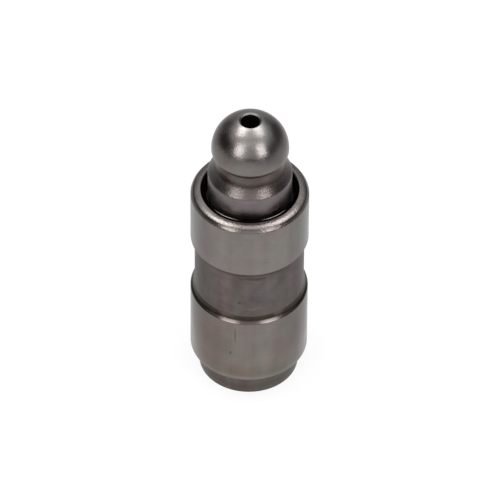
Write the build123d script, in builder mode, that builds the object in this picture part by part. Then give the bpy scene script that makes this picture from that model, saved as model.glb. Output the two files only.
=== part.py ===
from build123d import *
import math
import os

# Pivot-type hydraulic valve lifter. Millimetres, +Z up, origin at the centre of the base.

# Housing, outside, from the base up
land_radius = 6.0
base_step = 0.91
base_height = 2.76
base_edge_break = 0.1
land_edge_break = 0.12
lower_land_height = 8.09
land_chamfer = 0.25
groove_depth = 0.43
groove_taper_height = 0.55
groove_height = 6.4
upper_land_height = 5.81
facet_width = 0.25
facet_height = 0.4
crown_height = 0.22
crown_round = 1.37
mouth_edge_break = 0.1

# Housing, inside
land_wall = 1.28
mouth_step = 0.2
bore_floor_thickness = 3.0
bore_floor_fillet = 0.3
feed_hole_radius = 0.8
feed_hole_below_groove_top = 2.4

# Retaining ring in the mouth
ring_collar_wall = 0.2
ring_collar_edge = 0.08
ring_ledge = 0.14
ring_foot_height = 0.5
ring_grip = 0.14
ring_below_crown = 0.02
ring_collar_height = 0.54
ring_gap_width = 1.4

# Ball plunger, from its guide up
collar_height = 3.49
shoulder_height = 1.08
shoulder_bulge = 0.05
neck_depth = 0.53
neck_height = 1.95
neck_fillet = 0.22
ball_head_radius = 3.91
ball_edge_below_centre = 0.26
oil_hole_radius = 0.98
oil_hole_chamfer = 0.15
guide_length = 9.2
guide_edge_break = 0.15
oil_recess_depth = 0.35
reservoir_wall = 1.36
drill_point_angle = 118.0
reservoir_top_wall = 1.4
inlet_hole_radius = 0.7

# Lower plunger with its valve seat
lower_plunger_length = 5.6
seat_bottom_depth = 1.6
seat_wall = 1.2
seat_above_contact = 0.16
seat_below_contact = 0.24
piston_rim = 1.4

# Valve behind the seat
check_ball_radius = 1.5
cage_sheet = 0.25
cage_window_width = 1.2
cage_window_height = 1.0
cage_window_below_centre = 0.3
ball_spring_wire = 0.2
ball_spring_mean_radius = 0.85
ball_spring_turns = 3.0
ball_spring_room = 1.0

# Return spring
plunger_spring_wire = 0.7
plunger_spring_turns = 4.5

# Fits
plunger_travel = 3.0
guide_clearance = 0.02
ring_clearance = 0.04
ring_play = 0.16
ring_mouth_gap = 0.16
stop_clearance = 0.02
seat_clearance = 0.02
cage_ball_clearance = 0.1
spring_clearance = 0.1
spring_end_clearance = 0.02

# Radii of the housing
base_radius = land_radius - base_step
groove_radius = land_radius - groove_depth
bore_radius = land_radius - land_wall
mouth_radius = bore_radius + mouth_step
crown_inner_radius = mouth_radius + mouth_edge_break

# Heights of the housing
lower_land_top_z = base_height + lower_land_height
chamfer_top_z = lower_land_top_z + land_chamfer
groove_floor_z = chamfer_top_z + groove_taper_height
groove_top_z = groove_floor_z + groove_height
upper_land_top_z = groove_top_z + upper_land_height
facet_top_z = upper_land_top_z + facet_height
crown_z = facet_top_z + crown_height
feed_hole_z = groove_top_z - feed_hole_below_groove_top

# Ring seat: the ring stands in an inner groove, with its collar almost level with the lip
ring_top_z = crown_z - ring_below_crown
ring_foot_top_z = ring_top_z - ring_collar_height
ring_bottom_z = ring_foot_top_z - ring_foot_height
ring_outer_radius = mouth_radius + ring_grip
ring_collar_radius = mouth_radius - ring_mouth_gap
ring_collar_bore_radius = ring_collar_radius - ring_collar_wall
ring_inner_radius = ring_collar_bore_radius - ring_ledge
ring_groove_radius = ring_outer_radius + ring_clearance
ring_groove_bottom_z = ring_bottom_z - ring_clearance
ring_groove_top_z = ring_foot_top_z + ring_clearance

# Heights of the ball plunger, whose guide stops against the ring
guide_radius = bore_radius - guide_clearance
collar_radius = ring_inner_radius - ring_play
neck_radius = ball_head_radius - neck_depth
reservoir_radius = collar_radius - reservoir_wall
guide_top_z = ring_bottom_z - stop_clearance
guide_bottom_z = guide_top_z - guide_length
collar_top_z = guide_top_z + collar_height
neck_bottom_z = collar_top_z + shoulder_height
ball_edge_z = neck_bottom_z + neck_height
ball_head_z = ball_edge_z + ball_edge_below_centre
ball_edge_radius = math.sqrt(ball_head_radius**2 - ball_edge_below_centre**2)
reservoir_top_z = collar_top_z - reservoir_top_wall
drill_point_height = (reservoir_radius - oil_hole_radius) / math.tan(math.radians(drill_point_angle / 2))

# The recess faces the feed hole over the whole travel
oil_recess_radius = guide_radius - oil_recess_depth
oil_recess_bottom_z = feed_hole_z - feed_hole_radius
oil_recess_top_z = feed_hole_z + feed_hole_radius + plunger_travel

# Heights of the lower plunger and of the valve under its seat
lower_top_z = guide_bottom_z - seat_clearance
lower_bottom_z = lower_top_z - lower_plunger_length
seat_bottom_z = lower_bottom_z + seat_bottom_depth
seat_top_z = seat_bottom_z + seat_wall
seat_contact_radius = check_ball_radius / math.sqrt(2)
seat_hole_radius = seat_contact_radius - seat_above_contact
seat_mouth_radius = seat_contact_radius + seat_below_contact
seat_cone_height = seat_mouth_radius - seat_hole_radius
check_ball_z = (
    seat_bottom_z + seat_mouth_radius - math.sqrt(2) * (check_ball_radius + seat_clearance)
)
cage_recess_radius = guide_radius - piston_rim
cage_bore_radius = check_ball_radius + cage_ball_clearance
cage_radius = cage_bore_radius + cage_sheet
flange_radius = cage_recess_radius - spring_clearance / 2
flange_bottom_z = seat_bottom_z - cage_sheet
cage_floor_z = check_ball_z - check_ball_radius - ball_spring_room
cage_bottom_z = cage_floor_z - cage_sheet
cage_window_z = check_ball_z - cage_window_below_centre

# Springs, as centre lines of their wires
plunger_spring_radius = cage_recess_radius - spring_clearance - plunger_spring_wire / 2
plunger_spring_low_z = bore_floor_thickness + plunger_spring_wire / 2 + spring_end_clearance
plunger_spring_high_z = flange_bottom_z - plunger_spring_wire / 2 - spring_end_clearance
ball_spring_low_z = cage_floor_z + ball_spring_wire / 2 + spring_end_clearance
ball_spring_reach = check_ball_radius + ball_spring_wire / 2 + spring_end_clearance
ball_spring_high_z = check_ball_z - math.sqrt(ball_spring_reach**2 - ball_spring_mean_radius**2)


# Housing: one turned cup, ground on its two lands and bored from the mouth
with BuildPart() as housing:
    with BuildSketch(Plane.XZ):
        with BuildLine():
            Polyline(
                (0, 0),
                (base_radius - base_edge_break, 0),
                (base_radius, base_edge_break),
                (base_radius, base_height),
                (land_radius - land_edge_break, base_height),
                (land_radius, base_height + land_edge_break),
                (land_radius, lower_land_top_z),
                (land_radius - land_chamfer, chamfer_top_z),
            )
            TangentArc(
                (groove_radius, groove_floor_z),
                (land_radius - land_chamfer, chamfer_top_z),
                tangent=(0, -1),
            )
            Polyline(
                (groove_radius, groove_floor_z),
                (groove_radius, groove_top_z),
                (land_radius, groove_top_z),
                (land_radius, upper_land_top_z),
                (land_radius - facet_width, facet_top_z),
            )
            RadiusArc(
                (land_radius - facet_width, facet_top_z),
                (crown_inner_radius, crown_z),
                -crown_round,
            )
            Polyline(
                (crown_inner_radius, crown_z),
                (0, crown_z),
                (0, 0),
            )
        make_face()
    revolve(axis=Axis.Z)
    with BuildSketch(Plane.XZ):
        with BuildLine():
            Polyline(
                (0, bore_floor_thickness),
                (bore_radius - bore_floor_fillet, bore_floor_thickness),
            )
            RadiusArc(
                (bore_radius - bore_floor_fillet, bore_floor_thickness),
                (bore_radius, bore_floor_thickness + bore_floor_fillet),
                -bore_floor_fillet,
            )
            Polyline(
                (bore_radius, bore_floor_thickness + bore_floor_fillet),
                (bore_radius, ring_groove_bottom_z),
                (ring_groove_radius, ring_groove_bottom_z),
                (ring_groove_radius, ring_groove_top_z),
                (mouth_radius, ring_groove_top_z),
                (mouth_radius, crown_z - mouth_edge_break),
                (crown_inner_radius, crown_z),
                (0, crown_z),
                (0, bore_floor_thickness),
            )
        make_face()
    revolve(axis=Axis.Z, mode=Mode.SUBTRACT)
    # Oil feed hole, drilled through the wall at the back of the outer groove
    with BuildSketch(Plane.XZ):
        with Locations((0, feed_hole_z)):
            Circle(feed_hole_radius)
    extrude(amount=-land_radius, mode=Mode.SUBTRACT)

# Retaining ring: an open spring-steel ring with a foot in the inner groove and a thin collar above it
with BuildPart() as retaining_ring:
    with BuildSketch(Plane.XZ):
        with BuildLine():
            Polyline(
                (ring_inner_radius, ring_bottom_z),
                (ring_outer_radius, ring_bottom_z),
                (ring_outer_radius, ring_foot_top_z),
                (ring_collar_radius, ring_foot_top_z),
                (ring_collar_radius, ring_top_z - ring_collar_edge),
            )
            RadiusArc(
                (ring_collar_radius, ring_top_z - ring_collar_edge),
                (ring_collar_radius - ring_collar_edge, ring_top_z),
                -ring_collar_edge,
            )
            Line(
                (ring_collar_radius - ring_collar_edge, ring_top_z),
                (ring_collar_bore_radius + ring_collar_edge, ring_top_z),
            )
            RadiusArc(
                (ring_collar_bore_radius + ring_collar_edge, ring_top_z),
                (ring_collar_bore_radius, ring_top_z - ring_collar_edge),
                -ring_collar_edge,
            )
            Polyline(
                (ring_collar_bore_radius, ring_top_z - ring_collar_edge),
                (ring_collar_bore_radius, ring_foot_top_z),
                (ring_inner_radius, ring_foot_top_z),
                (ring_inner_radius, ring_bottom_z),
            )
        make_face()
    revolve(axis=Axis.Z)
    with BuildSketch(Plane.XZ):
        with Locations((0, ring_bottom_z)):
            Rectangle(ring_gap_width, 2 * (ring_top_z - ring_bottom_z) + ring_gap_width)
    extrude(amount=-2 * ring_outer_radius, mode=Mode.SUBTRACT)

# Ball plunger: turned in one piece, with the reservoir bored from below and the oil hole through the ball
with BuildPart() as ball_plunger:
    with BuildSketch(Plane.XZ):
        with BuildLine():
            Polyline(
                (0, guide_bottom_z),
                (guide_radius - guide_edge_break, guide_bottom_z),
                (guide_radius, guide_bottom_z + guide_edge_break),
                (guide_radius, guide_top_z - guide_edge_break),
                (guide_radius - guide_edge_break, guide_top_z),
                (collar_radius, guide_top_z),
                (collar_radius, collar_top_z),
            )
            SagittaArc(
                (collar_radius, collar_top_z),
                (neck_radius + neck_fillet, neck_bottom_z),
                -shoulder_bulge,
            )
            RadiusArc(
                (neck_radius + neck_fillet, neck_bottom_z),
                (neck_radius, neck_bottom_z + neck_fillet),
                neck_fillet,
            )
            Line(
                (neck_radius, neck_bottom_z + neck_fillet),
                (neck_radius, ball_edge_z - neck_fillet),
            )
            RadiusArc(
                (neck_radius, ball_edge_z - neck_fillet),
                (neck_radius + neck_fillet, ball_edge_z),
                neck_fillet,
            )
            Line(
                (neck_radius + neck_fillet, ball_edge_z),
                (ball_edge_radius, ball_edge_z),
            )
            CenterArc(
                (0, ball_head_z),
                ball_head_radius,
                -math.degrees(math.asin(ball_edge_below_centre / ball_head_radius)),
                90 + math.degrees(math.asin(ball_edge_below_centre / ball_head_radius)),
            )
            Line((0, ball_head_z + ball_head_radius), (0, guide_bottom_z))
        make_face()
    revolve(axis=Axis.Z)
    with BuildSketch(Plane.XZ):
        with BuildLine():
            Polyline(
                (0, guide_bottom_z),
                (reservoir_radius, guide_bottom_z),
                (reservoir_radius, reservoir_top_z),
                (oil_hole_radius, reservoir_top_z + drill_point_height),
                (oil_hole_radius, ball_head_z + ball_head_radius),
                (0, ball_head_z + ball_head_radius),
                (0, guide_bottom_z),
            )
        make_face()
    revolve(axis=Axis.Z, mode=Mode.SUBTRACT)
    # Recess around the guide that carries oil from the feed hole to the inlet hole
    with BuildSketch(Plane.XZ):
        with BuildLine():
            Polyline(
                (oil_recess_radius, oil_recess_bottom_z),
                (land_radius, oil_recess_bottom_z),
                (land_radius, oil_recess_top_z),
                (oil_recess_radius, oil_recess_top_z),
                close=True,
            )
        make_face()
    revolve(axis=Axis.Z, mode=Mode.SUBTRACT)
    with BuildSketch(Plane.XZ):
        with Locations((0, (oil_recess_bottom_z + oil_recess_top_z) / 2)):
            Circle(inlet_hole_radius)
    extrude(amount=-land_radius, mode=Mode.SUBTRACT)
    oil_hole_rim = ball_plunger.edges().filter_by(GeomType.CIRCLE).sort_by(Axis.Z)[-1]
    chamfer(oil_hole_rim, oil_hole_chamfer)

# Lower plunger: the pressure piston, a cup above and a shallow recess below its valve seat
with BuildPart() as lower_plunger:
    with BuildSketch(Plane.XZ):
        with BuildLine():
            Polyline(
                (seat_mouth_radius, seat_bottom_z),
                (cage_recess_radius, seat_bottom_z),
                (cage_recess_radius, lower_bottom_z),
                (guide_radius - guide_edge_break, lower_bottom_z),
                (guide_radius, lower_bottom_z + guide_edge_break),
                (guide_radius, lower_top_z - guide_edge_break),
                (guide_radius - guide_edge_break, lower_top_z),
                (reservoir_radius, lower_top_z),
                (reservoir_radius, seat_top_z),
                (seat_hole_radius, seat_top_z),
                (seat_hole_radius, seat_bottom_z + seat_cone_height),
                (seat_mouth_radius, seat_bottom_z),
            )
        make_face()
    revolve(axis=Axis.Z)

# Check ball: hardened steel, just clear of its seat
with BuildPart() as check_ball:
    with BuildSketch(Plane.XZ):
        with BuildLine():
            CenterArc((0, check_ball_z), check_ball_radius, -90, 180)
            Line((0, check_ball_z + check_ball_radius), (0, check_ball_z - check_ball_radius))
        make_face()
    revolve(axis=Axis.Z)

# Ball cage: a drawn sheet cap with a flange, and three windows for the oil
with BuildPart() as ball_cage:
    with BuildSketch(Plane.XZ):
        with BuildLine():
            Polyline(
                (0, cage_bottom_z),
                (cage_radius, cage_bottom_z),
                (cage_radius, flange_bottom_z),
                (flange_radius, flange_bottom_z),
                (flange_radius, seat_bottom_z),
                (cage_bore_radius, seat_bottom_z),
                (cage_bore_radius, cage_floor_z),
                (0, cage_floor_z),
                (0, cage_bottom_z),
            )
        make_face()
    revolve(axis=Axis.Z)
    with BuildSketch(Plane.XY.offset(cage_window_z - cage_window_height / 2)):
        with PolarLocations(cage_radius, 3, start_angle=30):
            Rectangle(2 * cage_sheet + cage_window_width, cage_window_width)
    extrude(amount=cage_window_height, mode=Mode.SUBTRACT)


# Springs: round wire wound at an even pitch
def coil(mean_radius, wire, low_z, high_z, turns):
    with BuildPart() as spring:
        with BuildLine() as centre_line:
            Helix(
                pitch=(high_z - low_z) / turns,
                height=high_z - low_z,
                radius=mean_radius,
                center=(0, 0, low_z),
            )
        with BuildSketch(Plane(origin=centre_line.line @ 0, z_dir=centre_line.line % 0)):
            Circle(wire / 2)
        sweep(path=centre_line.line, is_frenet=True)
    return spring


ball_spring = coil(
    ball_spring_mean_radius,
    ball_spring_wire,
    ball_spring_low_z,
    ball_spring_high_z,
    ball_spring_turns,
)
plunger_spring = coil(
    plunger_spring_radius,
    plunger_spring_wire,
    plunger_spring_low_z,
    plunger_spring_high_z,
    plunger_spring_turns,
)

os.makedirs("parts", exist_ok=True)

housing.part.label = "housing"
export_step(housing.part, "parts/housing.step")
retaining_ring.part.label = "retaining_ring"
export_step(retaining_ring.part, "parts/retaining_ring.step")
ball_plunger.part.label = "ball_plunger"
export_step(ball_plunger.part, "parts/ball_plunger.step")
lower_plunger.part.label = "lower_plunger"
export_step(lower_plunger.part, "parts/lower_plunger.step")
check_ball.part.label = "check_ball"
export_step(check_ball.part, "parts/check_ball.step")
ball_cage.part.label = "ball_cage"
export_step(ball_cage.part, "parts/ball_cage.step")
ball_spring.part.label = "ball_spring"
export_step(ball_spring.part, "parts/ball_spring.step")
plunger_spring.part.label = "plunger_spring"
export_step(plunger_spring.part, "parts/plunger_spring.step")
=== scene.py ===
from math import cos, pi, radians, sin

import bmesh
import bpy
from mathutils import Matrix, Vector


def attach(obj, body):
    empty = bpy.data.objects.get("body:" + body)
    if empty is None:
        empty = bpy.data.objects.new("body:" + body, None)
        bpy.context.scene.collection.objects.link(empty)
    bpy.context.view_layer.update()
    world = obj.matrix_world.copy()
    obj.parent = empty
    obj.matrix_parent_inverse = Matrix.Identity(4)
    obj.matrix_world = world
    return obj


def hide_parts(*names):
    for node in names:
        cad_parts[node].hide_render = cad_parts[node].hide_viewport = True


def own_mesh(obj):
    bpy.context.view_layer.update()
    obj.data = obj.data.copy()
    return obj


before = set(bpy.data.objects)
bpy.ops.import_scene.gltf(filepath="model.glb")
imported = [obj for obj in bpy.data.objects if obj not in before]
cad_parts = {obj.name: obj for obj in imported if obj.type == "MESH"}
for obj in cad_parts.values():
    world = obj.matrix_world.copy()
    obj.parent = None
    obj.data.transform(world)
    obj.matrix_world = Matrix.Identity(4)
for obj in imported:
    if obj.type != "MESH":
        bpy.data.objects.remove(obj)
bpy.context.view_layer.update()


# Camera. The photograph is taken with a very long lens from 45 degrees above, square to the front,
# and leans a fraction of a degree.
def linked_object(name, data):
    thing = bpy.data.objects.new(name, data)
    bpy.context.scene.collection.objects.link(thing)
    return thing


view_elevation = radians(45.16)
view_distance = 0.6516
view_target = Vector((0.00006, 0.0, 0.015635))
view_lean = radians(0.45)
lens_length = 461.4
sensor_width = 36.0
sight_end = 20.0
camera_data = bpy.data.cameras.new("photo_camera")
camera_data.sensor_width = sensor_width
camera_data.lens = lens_length
camera_data.clip_end = sight_end
camera = linked_object("photo_camera", camera_data)
camera.matrix_world = (
    Matrix.Translation(view_target)
    @ Matrix.Rotation(radians(90) - view_elevation, 4, "X")
    @ Matrix.Rotation(view_lean, 4, "Z")
    @ Matrix.Translation((0, 0, view_distance))
)
bpy.context.scene.camera = camera
bpy.context.scene.view_settings.view_transform = "Standard"


# Soft boxes. Two stand in front at head height, a little to the left and right, and two hang above
# the sides. They are what the ball, the lip and the chamfers mirror as bright patches.
box_distance = 0.7
box_aim = Vector((0, 0, 0.02))


def soft_box(name, azimuth, elevation, half_width, half_height, strength):
    # All four angles are in degrees, as seen from the lifter.
    width = 2 * box_distance * sin(radians(half_width))
    height = 2 * box_distance * sin(radians(half_height))
    lamp = bpy.data.lights.new(name, "AREA")
    lamp.shape = "RECTANGLE"
    lamp.size = width
    lamp.size_y = height
    lamp.energy = strength * pi * width * height
    box = linked_object(name, lamp)
    towards = Vector((
        sin(radians(azimuth)) * cos(radians(elevation)),
        -cos(radians(azimuth)) * cos(radians(elevation)),
        sin(radians(elevation)),
    ))
    box.location = box_aim + box_distance * towards
    box.rotation_euler = towards.to_track_quat("Z", "Y").to_euler()


soft_box("front_box_left", -37, 29, 12, 18, 4.0)
soft_box("front_box_right", 39, 29, 12.5, 18, 4.0)
soft_box("top_box_left", -105, 67, 14, 11, 4.5)
soft_box("top_box_right", 107, 66, 15, 11, 3.5)


# Table. A white board that runs out of sight. Its glow, as steel mirrors it, carries painted shade:
# bright in front of the lifter, dimmer in painted soft shadows beside and behind it, and dim far out to
# the left and right.
def node_of(tree, kind, **inputs):
    node = tree.nodes.new(kind)
    for key, value in inputs.items():
        node.inputs[key].default_value = value
    return node


def math_of(tree, operation, *values):
    node = tree.nodes.new("ShaderNodeMath")
    node.operation = operation
    for socket, value in zip(node.inputs, values):
        if isinstance(value, (int, float)):
            socket.default_value = value
        else:
            tree.links.new(value, socket)
    return node.outputs[0]


def mix_of(tree, share, low, high):
    node = tree.nodes.new("ShaderNodeMix")
    for socket, source in zip((node.inputs[0], node.inputs[2], node.inputs[3]), (share, low, high)):
        if isinstance(source, float):
            socket.default_value = source
        else:
            tree.links.new(source, socket)
    return node.outputs[0]


def ramp_of(tree, source, stops):
    # Each stop is (position, grey) or (position, colour).
    node = tree.nodes.new("ShaderNodeValToRGB")
    tree.links.new(source, node.inputs[0])
    while len(node.color_ramp.elements) < len(stops):
        node.color_ramp.elements.new(1.0)
    for element, (position, tone) in zip(node.color_ramp.elements, stops):
        element.position = position
        element.color = (*tone, 1) if isinstance(tone, tuple) else (tone, tone, tone, 1)
    return node.outputs[0]


# Blender works in metres. The lifter's own sizes are written in millimetres.
MM = 0.001
table_half_width = 4.0
table_drop = 0.02 * MM
side_scale = 5.0
depth_scale = 2.5
shadow_depth = 0.34
glow_share = 0.86
floor_mesh = bpy.data.meshes.new("floor")
floor_shape = bmesh.new()
bmesh.ops.create_grid(
    floor_shape,
    x_segments=1,
    y_segments=1,
    size=table_half_width,
    matrix=Matrix.Translation((0, 0, -table_drop)),
)
floor_shape.to_mesh(floor_mesh)
floor_shape.free()
floor = linked_object("floor", floor_mesh)
white_table = bpy.data.materials.new("white_table")
white_table.use_nodes = True
table = white_table.node_tree
table.nodes.clear()
table_seen = table.nodes.new("ShaderNodeLightPath")
table_place = table.nodes.new("ShaderNodeTexCoord")
table_split = table.nodes.new("ShaderNodeSeparateXYZ")
table.links.new(table_place.outputs["Object"], table_split.inputs[0])
table_side = math_of(table, "MULTIPLY", math_of(table, "ABSOLUTE", table_split.outputs["X"]), side_scale)
table_depth = math_of(table, "MULTIPLY_ADD", table_split.outputs["Y"], depth_scale, 0.5)
side_level = ramp_of(
    table,
    table_side,
    [(0.0, 1.0), (0.04, 0.95), (0.085, 0.95), (0.13, 1.02), (0.2, 0.94), (0.3, 0.72), (1.0, 0.45)],
)
depth_level = ramp_of(
    table,
    table_depth,
    [(0.0, 0.7), (0.3, 0.9), (0.5, 1.0), (0.555, 0.98), (0.61, 0.7), (0.75, 0.5)],
)
# Painted shadow: dims the mirrored glow beside and just behind the lifter.
shade_side = ramp_of(table, table_side, [(0.02, 0.0), (0.055, 1.0), (0.2, 0.9), (0.3, 0.2)])
shade_depth = ramp_of(table, table_depth, [(0.465, 0.0), (0.49, 0.7), (0.51, 1.0), (0.6, 0.0)])
shadow = math_of(table, "MULTIPLY", shade_side, shade_depth)
shade = math_of(table, "MULTIPLY_ADD", shadow, -shadow_depth, 1.0)
painted_table_level = math_of(table, "MULTIPLY", math_of(table, "MULTIPLY", side_level, depth_level), shade)
table_white = mix_of(table, table_seen.outputs["Is Camera Ray"], painted_table_level, 1.0)
table_mirrored = math_of(
    table, "MAXIMUM", table_seen.outputs["Is Camera Ray"], table_seen.outputs["Is Glossy Ray"]
)
table_share = math_of(table, "MULTIPLY", table_mirrored, glow_share)
table_paint = node_of(table, "ShaderNodeBsdfDiffuse", Color=(0.8, 0.8, 0.8, 1))
table_glow = node_of(table, "ShaderNodeEmission", Color=(1, 1, 1, 1))
table_mix = table.nodes.new("ShaderNodeMixShader")
table_out = table.nodes.new("ShaderNodeOutputMaterial")
table.links.new(table_white, table_glow.inputs["Strength"])
table.links.new(table_share, table_mix.inputs[0])
table.links.new(table_paint.outputs[0], table_mix.inputs[1])
table.links.new(table_glow.outputs[0], table_mix.inputs[2])
table.links.new(table_mix.outputs[0], table_out.inputs["Surface"])
floor_mesh.materials.append(white_table)

# Room. Dark at head height on both sides, lighter overhead, with a pale wall behind the camera and a
# dim one across from it. The camera itself sees plain white.
room = bpy.data.worlds.new("room")
bpy.context.scene.world = room
room.use_nodes = True
walls = room.node_tree
walls.nodes.clear()
room_way = walls.nodes.new("ShaderNodeTexCoord")
room_split = walls.nodes.new("ShaderNodeSeparateXYZ")
walls.links.new(room_way.outputs["Generated"], room_split.inputs[0])
room_height = room_split.outputs["Z"]
side_walls = ramp_of(
    walls,
    room_height,
    [(0.0, 0.12), (0.34, 0.12), (0.5, 0.3), (0.64, 0.8), (0.77, 1.25), (1.0, 1.7)],
)
height_squared = math_of(walls, "POWER", room_height, 2.0)
room_flat = math_of(walls, "SQRT", math_of(walls, "SUBTRACT", 1.0, height_squared))
room_towards = math_of(walls, "MULTIPLY", room_split.outputs["Y"], -1.0)
room_front = math_of(walls, "DIVIDE", room_towards, room_flat)
room_back = math_of(walls, "MULTIPLY", room_front, -1.0)
front_width = ramp_of(walls, room_front, [(0.0, 0.0), (0.6, 0.0), (0.92, 1.0), (1.0, 1.0)])
front_wall = ramp_of(
    walls,
    room_height,
    [(0.0, 0.3), (0.17, 0.5), (0.34, 0.85), (0.5, 0.85), (0.64, 0.9), (0.77, 1.1)]
    + [(0.88, 1.15), (0.98, 1.6)],
)
back_width = ramp_of(walls, room_back, [(0.75, 0.0), (0.93, 1.0)])
back_wall = ramp_of(
    walls,
    room_height,
    [(0.0, 0.55), (0.3, 0.5), (0.5, 0.4), (0.64, 0.85), (0.77, 1.25), (1.0, 1.7)],
)
room_sides = mix_of(walls, back_width, side_walls, back_wall)
room_total = mix_of(walls, front_width, room_sides, front_wall)
room_light = node_of(walls, "ShaderNodeBackground", Color=(1, 1, 1, 1))
room_white = node_of(walls, "ShaderNodeBackground", Color=(1, 1, 1, 1), Strength=1.0)
room_seen = walls.nodes.new("ShaderNodeLightPath")
room_mix = walls.nodes.new("ShaderNodeMixShader")
room_out = walls.nodes.new("ShaderNodeOutputWorld")
walls.links.new(room_total, room_light.inputs["Strength"])
walls.links.new(room_seen.outputs["Is Camera Ray"], room_mix.inputs[0])
walls.links.new(room_light.outputs[0], room_mix.inputs[1])
walls.links.new(room_white.outputs[0], room_mix.inputs[2])
walls.links.new(room_mix.outputs[0], room_out.inputs["Surface"])


# Housing. One turned and hardened steel cup. Its two lands are ground bright, while the oil groove
# between them and the narrower base keep the duller brown face of the heat treatment.
turned_steps = 256
weld_distance = 0.0001 * MM
sharp_angle = radians(34)


def turned(name, outline, rounds, closed=True, gap=0.0):
    # The outline is given in millimetres as (radius, height), and rounds says which of its corners
    # are rounded and how far back from the corner that starts. A gap is left open at the back.
    shape = bmesh.new()
    points = [shape.verts.new((r * MM, 0, z * MM)) for r, z in outline]
    for a, b in zip(points, points[1:]):
        shape.edges.new((a, b))
    if closed:
        shape.edges.new((points[-1], points[0]))
    corners = {index: points[index] for index in rounds}
    for index, width in rounds.items():
        bmesh.ops.bevel(
            shape,
            geom=[corners[index]],
            affect="VERTICES",
            offset=width * MM,
            segments=5,
            profile=0.5,
            material=-1,
        )
    if gap:
        bmesh.ops.rotate(
            shape,
            verts=shape.verts[:],
            cent=(0, 0, 0),
            matrix=Matrix.Rotation((pi + gap) / 2, 3, "Z"),
        )
        bmesh.ops.contextual_create(shape, geom=shape.edges[:])
    bmesh.ops.spin(
        shape,
        geom=shape.faces[:] if gap else shape.verts[:] + shape.edges[:],
        cent=(0, 0, 0),
        axis=(0, 0, 1),
        angle=2 * pi - gap,
        steps=turned_steps,
        use_merge=not gap,
    )
    bmesh.ops.remove_doubles(shape, verts=shape.verts[:], dist=weld_distance)
    bmesh.ops.recalc_face_normals(shape, faces=shape.faces[:])
    for face in shape.faces:
        face.smooth = True
    mesh = bpy.data.meshes.new(name)
    shape.to_mesh(mesh)
    shape.free()
    return linked_object(name, mesh)


def arc(centre_r, centre_z, radius, start, end, count):
    # Points on a circle in the outline's plane, from one angle in degrees to another.
    turns = [radians(start + (end - start) * i / count) for i in range(count + 1)]
    return [(centre_r + radius * cos(t), centre_z + radius * sin(t)) for t in turns]


def drilled(piece, radius, height, depth):
    # A hole drilled in from the back at this height, in millimetres.
    drill_shape = bmesh.new()
    bmesh.ops.create_cone(
        drill_shape,
        cap_ends=True,
        segments=48,
        radius1=radius * MM,
        radius2=radius * MM,
        depth=depth * MM,
        matrix=Matrix.Translation((0, depth * MM / 2, height * MM)) @ Matrix.Rotation(pi / 2, 4, "X"),
    )
    drill_mesh = bpy.data.meshes.new("drill")
    drill_shape.to_mesh(drill_mesh)
    drill_shape.free()
    drill = linked_object("drill", drill_mesh)
    cut = piece.modifiers.new("cut", "BOOLEAN")
    cut.operation = "DIFFERENCE"
    cut.solver = "EXACT"
    cut.object = drill
    cut_piece = piece.evaluated_get(bpy.context.evaluated_depsgraph_get())
    finished = bpy.data.meshes.new_from_object(cut_piece)
    piece.modifiers.clear()
    piece.data = finished
    bpy.data.objects.remove(drill)


# Noise scales, the higher the finer, and how far each noise changes the gloss or the surface
ramp_height = 40.0
ring_length = 110
ring_fineness = 7000
pit_scale = 5200.0
cloud_scale = 560.0
tint_scale = 260.0
streak_scale = (900, 900, 45)
stain_scale = 2400.0
cloud_gloss = 0.22
pit_gloss = 0.1
ring_relief = 0.008 * MM
pit_relief = 0.04 * MM


def scaled_of(tree, source, scale):
    node = tree.nodes.new("ShaderNodeMapping")
    node.inputs["Scale"].default_value = scale
    tree.links.new(source, node.inputs[0])
    return node


def noise_of(tree, source, scale, detail):
    node = tree.nodes.new("ShaderNodeTexNoise")
    node.inputs["Scale"].default_value = scale
    node.inputs["Detail"].default_value = detail
    tree.links.new(source, node.inputs["Vector"])
    return node


def length_of(tree, source):
    node = tree.nodes.new("ShaderNodeVectorMath")
    node.operation = "LENGTH"
    tree.links.new(source, node.inputs[0])
    return node.outputs["Value"]


def tinted_by(tree, colour, layer, share, blend):
    # Blends a layer over a colour. The layer is a colour socket or a plain tone.
    mix = tree.nodes.new("ShaderNodeMix")
    mix.data_type = "RGBA"
    mix.blend_type = blend
    if isinstance(share, float):
        mix.inputs[0].default_value = share
    else:
        tree.links.new(share, mix.inputs[0])
    tree.links.new(colour, mix.inputs[6])
    if isinstance(layer, tuple):
        mix.inputs[7].default_value = (*layer, 1)
    else:
        tree.links.new(layer, mix.inputs[7])
    return mix.outputs[2]


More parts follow.
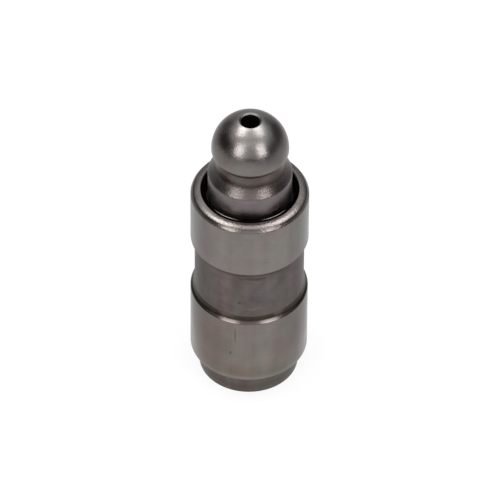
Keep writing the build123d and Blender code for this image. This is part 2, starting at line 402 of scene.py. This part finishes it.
def steel_finish(name, tones, gloss, grain, mottle, marks=0.25, hue=0.05, streaks=0.0):
    # Tones, gloss, grain and mottle are given by height in millimetres, each as (height, value). Marks
    # are the fine rings left by turning or grinding, grain is the tumbled face between them, mottle is
    # how far the soft stains darken it, and streaks run along the axis, as from sliding in a bore.
    material = bpy.data.materials.new(name)
    material.use_nodes = True
    tree = material.node_tree
    shader = tree.nodes["Principled BSDF"]
    shader.inputs["Metallic"].default_value = 1.0
    place = tree.nodes.new("ShaderNodeTexCoord").outputs["Object"]
    split = tree.nodes.new("ShaderNodeSeparateXYZ")
    tree.links.new(place, split.inputs[0])
    level = math_of(tree, "MULTIPLY", split.outputs["Z"], 1 / (ramp_height * MM))
    flat = tree.nodes.new("ShaderNodeVectorMath")
    flat.operation = "MULTIPLY"
    flat.inputs[1].default_value = (1, 1, 0)
    tree.links.new(place, flat.inputs[0])
    radius = length_of(tree, flat.outputs[0])

    # Rings: noise drawn out around the axis, told apart by height and by radius.
    rings_place = scaled_of(tree, place, (ring_length, ring_length, ring_fineness))
    rings = noise_of(tree, rings_place.outputs[0], 1.0, 3.0)
    rings.noise_dimensions = "4D"
    tree.links.new(math_of(tree, "MULTIPLY", radius, ring_fineness), rings.inputs["W"])

    # Pits: the grain's fine pitting. Clouds: soft patches of colour and gloss a millimetre or two
    # across. Tint: wider patches of a warmer or a cooler hue. Wiped: the streaks along the axis.
    pits = noise_of(tree, place, pit_scale, 2.0)
    clouds = noise_of(tree, place, cloud_scale, 4.0)
    tint = noise_of(tree, place, tint_scale, 2.5)
    wiped = noise_of(tree, scaled_of(tree, place, streak_scale).outputs[0], 1.0, 2.0)

    def by_height(stops):
        return ramp_of(tree, level, [(height / ramp_height, value) for height, value in stops])

    colour = by_height(tones)
    cloudy = ramp_of(tree, clouds.outputs["Fac"], [(0.36, (0.5, 0.45, 0.43)), (0.62, (1.0, 1.0, 1.0))])
    tinted = ramp_of(
        tree,
        tint.outputs["Fac"],
        [(0.4, (1.0, 1.0 - hue, 1.0 - hue * 0.8)), (0.6, (1.0 - hue, 1.0, 1.0 - hue * 0.6))],
    )
    ringed = ramp_of(tree, rings.outputs["Fac"], [(0.3, 1 - marks * 0.25), (0.6, 1.0)])
    streaked = ramp_of(tree, wiped.outputs["Fac"], [(0.36, 1 - streaks), (0.64, 1 + streaks)])
    for layer, share in ((cloudy, by_height(mottle)), (tinted, 1.0), (ringed, 1.0), (streaked, 1.0)):
        colour = tinted_by(tree, colour, layer, share, "MULTIPLY")
    tree.links.new(colour, shader.inputs["Base Color"])

    rough = by_height(gloss)
    for noise, spread in ((clouds, cloud_gloss), (pits, pit_gloss)):
        low = math_of(tree, "SUBTRACT", rough, spread / 2)
        rough = math_of(tree, "MULTIPLY_ADD", noise.outputs["Fac"], spread, low)
    tree.links.new(rough, shader.inputs["Roughness"])

    ring_bump = tree.nodes.new("ShaderNodeBump")
    ring_bump.inputs["Strength"].default_value = marks
    ring_bump.inputs["Distance"].default_value = ring_relief
    tree.links.new(rings.outputs["Fac"], ring_bump.inputs["Height"])
    pit_bump = tree.nodes.new("ShaderNodeBump")
    tree.links.new(by_height(grain), pit_bump.inputs["Strength"])
    pit_bump.inputs["Distance"].default_value = pit_relief
    tree.links.new(pits.outputs["Fac"], pit_bump.inputs["Height"])
    tree.links.new(ring_bump.outputs[0], pit_bump.inputs["Normal"])
    tree.links.new(pit_bump.outputs[0], shader.inputs["Normal"])
    return material


def stain_or_painted_light(material, centre, reach, tone, ragged=0.2, blend="MULTIPLY"):
    # A local stain, or a patch of painted light or shade: centre and reach are in millimetres along x, y
    # and z, with a ragged soft border.
    tree = material.node_tree
    shader = tree.nodes["Principled BSDF"]
    place = tree.nodes.new("ShaderNodeTexCoord").outputs["Object"]
    spot = scaled_of(tree, place, [1 / (r * MM) for r in reach])
    spot.inputs["Location"].default_value = [-c / r - ragged for c, r in zip(centre, reach)]
    border = noise_of(tree, place, stain_scale, 3.0)
    moved = tree.nodes.new("ShaderNodeVectorMath")
    moved.operation = "MULTIPLY_ADD"
    moved.inputs[1].default_value = (2 * ragged, 2 * ragged, 2 * ragged)
    tree.links.new(border.outputs["Color"], moved.inputs[0])
    tree.links.new(spot.outputs[0], moved.inputs[2])
    share = ramp_of(tree, length_of(tree, moved.outputs[0]), [(0.45, 1.0), (1.0, 0.0)])
    colour = shader.inputs["Base Color"].links[0].from_socket
    tree.links.new(tinted_by(tree, colour, tone, share, blend), shader.inputs["Base Color"])


base_radius = 5.09
base_top = 2.76
land_radius = 6.0
land_chamfer = 0.25
lower_land_top = 11.10
run_out = [(5.69, 11.22), (5.635, 11.36), (5.595, 11.5)]
groove_radius = 5.57
groove_low = 11.65
groove_high = 18.05
facet_low = 23.86
facet_high = 24.26
lip_centre_radius = 5.0053
lip_centre_height = 23.1101
lip_round = 1.37
mouth_radius = 4.92
mouth_edge = 24.38
ring_groove_radius = 5.10
ring_groove_low = 23.38
ring_groove_high = 23.96
bore_radius = 4.72
bore_floor = 3.0
housing_outline = (
    [(0, 0), (base_radius, 0), (base_radius, base_top), (land_radius, base_top)]
    + [(land_radius, lower_land_top - land_chamfer), (land_radius - land_chamfer, lower_land_top)]
    + run_out
    + [(groove_radius, groove_low), (groove_radius, groove_high), (land_radius, groove_high)]
    + [(land_radius, facet_low), (land_radius - land_chamfer, facet_high)]
    + arc(lip_centre_radius, lip_centre_height, lip_round, 57.1, 89.4, 12)[1:]
    + [(mouth_radius, mouth_edge), (mouth_radius, ring_groove_high)]
    + [(ring_groove_radius, ring_groove_high), (ring_groove_radius, ring_groove_low)]
    + [(bore_radius, ring_groove_low), (bore_radius, bore_floor), (0, bore_floor)]
)
housing_rounds = {1: 0.1, 3: 0.1, 4: 0.06, 5: 0.06, 12: 0.08, 13: 0.05}
housing = turned("housing_body", housing_outline, housing_rounds, closed=False)
drilled(housing, radius=0.8, height=15.65, depth=8.0)
housing.data.set_sharp_from_angle(angle=sharp_angle)
ground = (0.234, 0.21, 0.201)
groove_brown = (0.15, 0.126, 0.12)
base_brown = (0.136, 0.115, 0.1)
groove_foot_shade = (0.066, 0.051, 0.043)
groove_corner_shade = (0.1, 0.078, 0.072)
land_foot_highlight = (0.228, 0.2, 0.184)
land_face = (0.215, 0.189, 0.178)
chamfer_brown = (0.135, 0.118, 0.11)
facet_bright = (0.24, 0.217, 0.209)
crown_foot_shade = (0.12, 0.1, 0.095)
housing_steel = steel_finish(
    "housing_steel",
    tones=[
        (0.0, base_brown),
        (0.3, base_brown),
        (0.85, (0.104, 0.088, 0.077)),
        (1.6, base_brown),
        (2.72, base_brown),
        # Painted highlight along the lower land's foot, then painted shade fading up the land from the
        # base.
        (2.78, land_foot_highlight),
        (3.15, land_foot_highlight),
        (3.3, (0.186, 0.158, 0.142)),
        (3.9, (0.19, 0.162, 0.146)),
        (4.8, (0.207, 0.178, 0.162)),
        (9.0, land_face),
        (10.8, land_face),
        (10.9, chamfer_brown),
        (11.06, chamfer_brown),
        # Painted shade in the taper at the groove's foot.
        (11.13, groove_foot_shade),
        (11.6, groove_foot_shade),
        (11.72, groove_brown),
        (17.2, groove_brown),
        # Painted shade under the upper land's edge, in the groove's top corner.
        (17.45, groove_corner_shade),
        (18.0, groove_corner_shade),
        (18.06, ground),
        (23.84, ground),
        (23.9, facet_bright),
        (24.17, facet_bright),
        # Painted shade: a dark line where the facet meets the crown.
        (24.22, crown_foot_shade),
        (24.27, crown_foot_shade),
        (24.32, (0.21, 0.189, 0.182)),
    ],
    gloss=[(0.0, 0.42), (2.6, 0.42), (2.8, 0.22), (11.05, 0.2), (11.15, 0.26), (11.6, 0.28)]
    + [(12.0, 0.4), (18.0, 0.42), (18.06, 0.22), (23.9, 0.25), (24.2, 0.25), (24.3, 0.2)],
    grain=[(0.0, 0.35), (2.7, 0.35), (2.8, 0.1), (11.0, 0.1), (11.2, 0.4), (18.0, 0.4)]
    + [(18.1, 0.08), (23.8, 0.1), (24.0, 0.5), (24.3, 0.6)],
    mottle=[(0.0, 0.5), (2.7, 0.5), (2.8, 0.2), (11.0, 0.16), (11.2, 0.5), (18.0, 0.5)]
    + [(18.1, 0.06), (24.0, 0.3)],
    streaks=0.04,
)
# Lower land: a brown scratch, a nick below it and three wide soft patches
stain_or_painted_light(housing_steel, (-1.38, -5.84, 9.15), (0.11, 0.5, 1.25), (0.68, 0.6, 0.46), 0.3)
stain_or_painted_light(housing_steel, (-1.85, -5.71, 6.52), (0.13, 0.5, 0.27), (0.62, 0.56, 0.5), 0.3)
stain_or_painted_light(housing_steel, (-0.92, -5.93, 3.9), (2.0, 1.2, 1.3), (0.99, 0.94, 0.89), 0.4)
stain_or_painted_light(housing_steel, (-4.2, -4.3, 7.0), (2.8, 2.8, 5.0), (0.97, 0.89, 0.84), 0.2)
stain_or_painted_light(housing_steel, (1.6, -5.8, 8.6), (1.1, 0.9, 1.7), (0.93, 1.0, 0.97), 0.4)
# Upper land: one grey smudge
stain_or_painted_light(housing_steel, (1.7, -5.76, 19.65), (0.5, 0.4, 0.16), (0.86, 0.84, 0.84), 0.5)
# Groove: a dark smear under its upper edge, a speck, two cloudy patches and a light scrape
stain_or_painted_light(housing_steel, (0.74, -5.52, 17.0), (2.1, 0.8, 0.24), (0.66, 0.57, 0.56), 0.7)
stain_or_painted_light(housing_steel, (-0.99, -5.48, 13.48), (0.2, 0.4, 0.16), (0.6, 0.58, 0.57), 0.5)
stain_or_painted_light(housing_steel, (0.75, -5.52, 14.5), (1.3, 1.0, 1.3), (0.9, 0.94, 1.0), 0.5)
stain_or_painted_light(housing_steel, (-1.98, -5.2, 15.8), (1.0, 1.0, 1.4), (0.94, 1.0, 0.94), 0.5)
stain_or_painted_light(housing_steel, (0.56, -5.54, 12.7), (1.2, 0.5, 0.09), (0.165, 0.15, 0.147), 0.5, "MIX")
# Painted shade band at the groove's foot: paler on the left
stain_or_painted_light(housing_steel, (-2.4, -5.05, 11.5), (1.1, 0.8, 0.34), (0.105, 0.086, 0.074), 0.6, "MIX")
# Upright soft bands of painted light, from the upper land down to the base: painted sheen lighter in
# front, left and right of the middle, and painted shade darker at the sides
stain_or_painted_light(housing_steel, (-4.1, -4.4, 21.0), (1.3, 1.6, 4.0), (0.88, 0.86, 0.86), 0.2)
stain_or_painted_light(housing_steel, (4.6, -3.9, 21.0), (1.2, 1.6, 4.0), (0.94, 0.94, 0.93), 0.2)
stain_or_painted_light(housing_steel, (-2.3, -5.07, 15.0), (0.9, 1.0, 3.4), (1.17, 1.19, 1.22), 0.3)
stain_or_painted_light(housing_steel, (1.9, -5.2, 15.0), (1.3, 1.0, 3.4), (1.12, 1.14, 1.19), 0.3)
stain_or_painted_light(housing_steel, (-5.1, -2.2, 15.0), (1.2, 2.2, 4.5), (0.82, 0.79, 0.76), 0.2)
stain_or_painted_light(housing_steel, (4.9, -2.6, 15.0), (0.9, 1.8, 4.5), (0.9, 0.85, 0.85), 0.2)
stain_or_painted_light(housing_steel, (1.8, -5.7, 7.6), (1.5, 1.0, 4.6), (1.09, 1.09, 1.11), 0.2)
stain_or_painted_light(housing_steel, (4.7, -3.7, 7.2), (1.1, 1.6, 4.6), (0.9, 0.91, 0.89), 0.2)
stain_or_painted_light(housing_steel, (-1.8, -4.76, 1.4), (1.1, 0.8, 1.6), (1.16, 1.2, 1.24), 0.3)
# Painted shade band at the groove's foot again: paler on the right
stain_or_painted_light(housing_steel, (3.0, -4.73, 11.5), (0.8, 0.8, 0.34), (0.11, 0.09, 0.078), 0.6, "MIX")
housing.data.materials.append(housing_steel)
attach(housing, "housing")
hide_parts("housing")

# Retaining ring. An open ring of oiled black spring steel that stands in a groove inside the mouth.
# Its collar shows just above the lip, with a painted highlight of lighter metal on the front of its top
# edge.
oiled_black = (0.005, 0.0045, 0.004)
ring_steel = steel_finish(
    "black_spring_steel",
    tones=[(0.0, oiled_black), (25.0, oiled_black)],
    gloss=[(0.0, 0.3), (24.3, 0.3), (24.4, 0.17)],
    grain=[(0.0, 0.3), (25.0, 0.3)],
    mottle=[(0.0, 0.3), (25.0, 0.3)],
)
# The oiled black face mirrors little even at a flat angle, so its edge tint is dark too.
ring_shader = ring_steel.node_tree.nodes["Principled BSDF"]
ring_shader.inputs["Specular Tint"].default_value = (0.1, 0.1, 0.1, 1)
# Painted highlight: the front of the collar's top is given a lighter metal tone, left and right of the
# middle.
for side in (-1, 1):
    stain_or_painted_light(ring_steel, (side * 2.5, -4.0, 24.46), (1.6, 1.5, 0.03), (0.15, 0.135, 0.125), 0.15, "MIX")
ring_inner_radius = 4.42
ring_outer_radius = 5.06
ring_foot_low = 23.42
ring_foot_high = 23.92
collar_inner_radius = 4.56
collar_outer_radius = 4.76
collar_round = 0.08
collar_round_height = 24.38
ring_gap = radians(17)
ring_outline = (
    [(ring_inner_radius, ring_foot_low), (ring_outer_radius, ring_foot_low)]
    + [(ring_outer_radius, ring_foot_high), (collar_outer_radius, ring_foot_high)]
    + arc(collar_outer_radius - collar_round, collar_round_height, collar_round, 0, 90, 6)
    + arc(collar_inner_radius + collar_round, collar_round_height, collar_round, 90, 180, 6)
    + [(collar_inner_radius, ring_foot_high), (ring_inner_radius, ring_foot_high)]
)
ring = turned("retaining_ring_body", ring_outline, {}, gap=ring_gap)
ring.data.set_sharp_from_angle(angle=sharp_angle)
ring.data.materials.append(ring_steel)
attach(ring, "housing")
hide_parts("retaining_ring")

# Ball plunger. Turned and hardened in one piece: the ball is polished, and the neck under it and
# the shoulder keep the darker face of the heat treatment.
guide_radius = 4.7
guide_low = 14.2
guide_high = 23.4
recess_radius = 4.35
recess_low = 14.85
recess_high = 19.45
shoulder_radius = 4.26
shoulder_foot = 26.89
shoulder_bulge = [(4.075, 27.17), (3.87, 27.48)]
neck_radius = 3.38
neck_flare = 2.3
neck_flare_height = 28.9
neck_corner = 0.22
neck_corner_height = 29.08
ball_edge_centre_radius = 3.309
ball_edge_height = 30.05
ball_edge_round = 0.6
ball_height = 30.18
ball_radius = 3.91
oil_hole_radius = 0.98
oil_hole_high = 33.8
oil_hole_low = 26.65
reservoir_radius = 2.9
reservoir_high = 25.49
plunger_outline = (
    [(reservoir_radius, guide_low), (guide_radius, guide_low), (guide_radius, recess_low)]
    + [(recess_radius, recess_low), (recess_radius, recess_high), (guide_radius, recess_high)]
    + [(guide_radius, guide_high), (shoulder_radius, guide_high), (shoulder_radius, shoulder_foot)]
    + shoulder_bulge
    + arc(neck_radius + neck_flare, neck_flare_height, neck_flare, 205, 180, 10)
    + arc(neck_radius + neck_corner, neck_corner_height, neck_corner, 180, 150, 3)
    + arc(ball_edge_centre_radius, ball_edge_height, ball_edge_round, -50, -6, 7)
    + arc(0, ball_height, ball_radius, -1.9, 73.1, 48)
    + [(oil_hole_radius, oil_hole_high), (oil_hole_radius, oil_hole_low)]
    + [(reservoir_radius, reservoir_high)]
)
plunger_rounds = {1: 0.15, 6: 0.12, 8: 0.06}
plunger = turned("ball_plunger_body", plunger_outline, plunger_rounds)
drilled(plunger, radius=0.7, height=17.15, depth=8.0)
plunger.data.set_sharp_from_angle(angle=sharp_angle)
gap_shade = (0.02, 0.017, 0.016)
neck_foot_shade = (0.098, 0.079, 0.072)
neck_brown = (0.142, 0.12, 0.108)
shade_under_ball = (0.1, 0.08, 0.07)
ball_face = (0.22, 0.207, 0.2)
plunger_steel = steel_finish(
    "plunger_steel",
    tones=[
        (23.2, (0.205, 0.176, 0.178)),
        # Painted shade: black at the guide's top, in the gap inside the housing.
        (23.3, gap_shade),
        (23.5, gap_shade),
        # Painted light: the collar is lighter low down, inside the lip, where light reaches into the
        # gap.
        (23.6, (0.38, 0.33, 0.33)),
        (24.9, (0.36, 0.31, 0.31)),
        (25.7, (0.235, 0.202, 0.204)),
        (26.2, (0.208, 0.178, 0.18)),
        (26.8, (0.21, 0.18, 0.182)),
        (27.0, (0.165, 0.144, 0.138)),
        (27.8, (0.155, 0.132, 0.125)),
        # Painted shade in the crease at the neck's foot.
        (27.95, neck_foot_shade),
        (28.15, neck_foot_shade),
        (28.4, neck_brown),
        (29.15, neck_brown),
        # Painted shade on the neck just under the ball's edge.
        (29.3, shade_under_ball),
        (29.6, shade_under_ball),
        (30.0, (0.218, 0.196, 0.184)),
        (32.0, ball_face),
        (33.8, ball_face),
        # Painted highlight: a lighter ring round the oil hole's edge.
        (33.88, (0.3, 0.285, 0.275)),
    ],
    gloss=[(23.4, 0.34), (26.8, 0.28), (27.0, 0.3), (28.0, 0.3)]
    + [(28.4, 0.33), (29.8, 0.34), (30.1, 0.26), (34.0, 0.27)],
    grain=[(23.2, 0.08), (23.4, 0.3), (26.8, 0.3), (26.9, 0.6), (28.0, 0.6), (29.8, 0.3), (30.1, 0.25)],
    mottle=[(23.4, 0.3), (28.0, 0.4), (29.9, 0.4), (30.1, 0.35), (34.0, 0.35)],
    marks=0.2,
    hue=0.025,
)
# Neck: painted shade, darker on both sides and at its left foot
stain_or_painted_light(plunger_steel, (-2.6, -2.1, 29.0), (1.0, 1.8, 0.9), (0.66, 0.54, 0.5), 0.3)
stain_or_painted_light(plunger_steel, (2.7, -2.0, 29.0), (1.0, 1.8, 0.9), (0.78, 0.68, 0.66), 0.3)
stain_or_painted_light(plunger_steel, (-2.6, -2.35, 28.2), (1.3, 1.4, 0.4), (0.42, 0.35, 0.34), 0.3)
# Ball: a painted shade patch on each side, a warm stain low on the left and two smudges down its front
stain_or_painted_light(plunger_steel, (-2.67, -1.6, 32.5), (1.1, 1.5, 1.1), (0.64, 0.54, 0.53), 0.4)
stain_or_painted_light(plunger_steel, (2.72, -0.5, 32.9), (0.9, 1.4, 1.0), (0.7, 0.61, 0.64), 0.4)
stain_or_painted_light(plunger_steel, (-2.75, -2.67, 30.9), (1.6, 1.6, 1.2), (1.0, 0.93, 0.92), 0.3)
stain_or_painted_light(plunger_steel, (-0.1, -3.57, 31.78), (1.0, 0.4, 0.25), (0.74, 0.72, 0.69), 0.6)
stain_or_painted_light(plunger_steel, (0.0, -2.21, 33.41), (1.5, 0.3, 0.3), (0.9, 0.89, 0.88), 0.8)
plunger.data.materials.append(plunger_steel)
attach(plunger, "ball_plunger")
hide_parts("ball_plunger")


# Lower plunger. A turned and ground steel piston under the ball plunger, with the oil inlet and the
# valve's seat in its floor. It slides in the housing's bore and shows only when taken out.
def dressed(node, material):
    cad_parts[node].data.materials.clear()
    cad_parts[node].data.materials.append(material)


piston_steel = steel_finish(
    "piston_steel",
    tones=[(8.0, (0.24, 0.222, 0.21)), (10.6, (0.19, 0.17, 0.158)), (11.2, (0.26, 0.242, 0.232))],
    gloss=[(8.0, 0.34), (10.8, 0.34), (11.2, 0.2), (14.2, 0.2)],
    grain=[(8.0, 0.08), (11.2, 0.05)],
    mottle=[(8.0, 0.4), (11.2, 0.1)],
    marks=0.4,
)
dressed("lower_plunger", piston_steel)

# Check ball. A bearing ball, ground and lapped to a mirror, that closes the hole in the piston's floor.
ball_steel = steel_finish(
    "ball_steel",
    tones=[(7.0, (0.48, 0.47, 0.46)), (11.0, (0.5, 0.49, 0.48))],
    gloss=[(7.0, 0.13), (11.0, 0.13)],
    grain=[(7.0, 0.05), (11.0, 0.05)],
    mottle=[(7.0, 0.06), (11.0, 0.06)],
    marks=0.05,
    hue=0.02,
)
dressed("check_ball", ball_steel)

# Ball cage. A cap drawn from thin sheet steel, with a flange that the return spring presses against
# the piston. Drawing leaves it dull on the flange and brighter where it slid through the die.
cage_steel = steel_finish(
    "cage_steel",
    tones=[
        (6.5, (0.3, 0.28, 0.255)),
        (7.2, (0.34, 0.33, 0.31)),
        (9.8, (0.33, 0.315, 0.29)),
        (9.95, (0.28, 0.26, 0.235)),
    ],
    gloss=[(6.5, 0.36), (7.2, 0.27), (9.8, 0.29), (9.95, 0.4)],
    grain=[(6.5, 0.12), (7.2, 0.06), (9.8, 0.06), (9.95, 0.12)],
    mottle=[(6.5, 0.4), (7.2, 0.25), (9.95, 0.45)],
    marks=0.15,
)
dressed("ball_cage", cage_steel)


# Springs. Both are wound from drawn spring wire: a strong one that returns the plungers, standing on
# the floor of the bore, and a light one in the cage that closes the valve. Their ends are cut square.
steps_per_turn = 64


def wound(name, mean_radius, wire, low, high, turns, sides):
    # A round wire on a helix between two heights, all sizes in millimetres.
    shape = bmesh.new()
    bmesh.ops.create_circle(
        shape,
        cap_ends=True,
        segments=sides,
        radius=wire * MM / 2,
        matrix=Matrix.Translation((mean_radius * MM, 0, low * MM)) @ Matrix.Rotation(pi / 2, 4, "X"),
    )
    steps = round(steps_per_turn * turns)
    bmesh.ops.spin(
        shape,
        geom=shape.faces[:],
        cent=(0, 0, 0),
        axis=(0, 0, 1),
        dvec=(0, 0, (high - low) * MM / steps),
        angle=2 * pi * turns,
        steps=steps,
    )
    bmesh.ops.remove_doubles(shape, verts=shape.verts[:], dist=weld_distance)
    bmesh.ops.recalc_face_normals(shape, faces=shape.faces[:])
    for face in shape.faces:
        face.smooth = len(face.verts) == 4
    mesh = bpy.data.meshes.new(name)
    shape.to_mesh(mesh)
    shape.free()
    return linked_object(name, mesh)


wire_steel = steel_finish(
    "wire_steel",
    tones=[(3.0, (0.27, 0.258, 0.248)), (10.0, (0.3, 0.29, 0.28))],
    gloss=[(3.0, 0.27), (10.0, 0.25)],
    grain=[(3.0, 0.08), (10.0, 0.08)],
    mottle=[(3.0, 0.35), (10.0, 0.3)],
    marks=0.1,
)
return_spring = wound(
    "return_spring", mean_radius=2.85, wire=0.7, low=3.37, high=9.56, turns=4.5, sides=24
)
return_spring.data.materials.append(wire_steel)
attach(return_spring, "housing")
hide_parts("plunger_spring")
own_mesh(return_spring)
valve_spring = wound(
    "valve_spring", mean_radius=0.85, wire=0.2, low=6.95, high=7.951, turns=3.0, sides=16
)
valve_spring.data.materials.append(wire_steel)
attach(valve_spring, "piston")
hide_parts("ball_spring")
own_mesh(valve_spring)
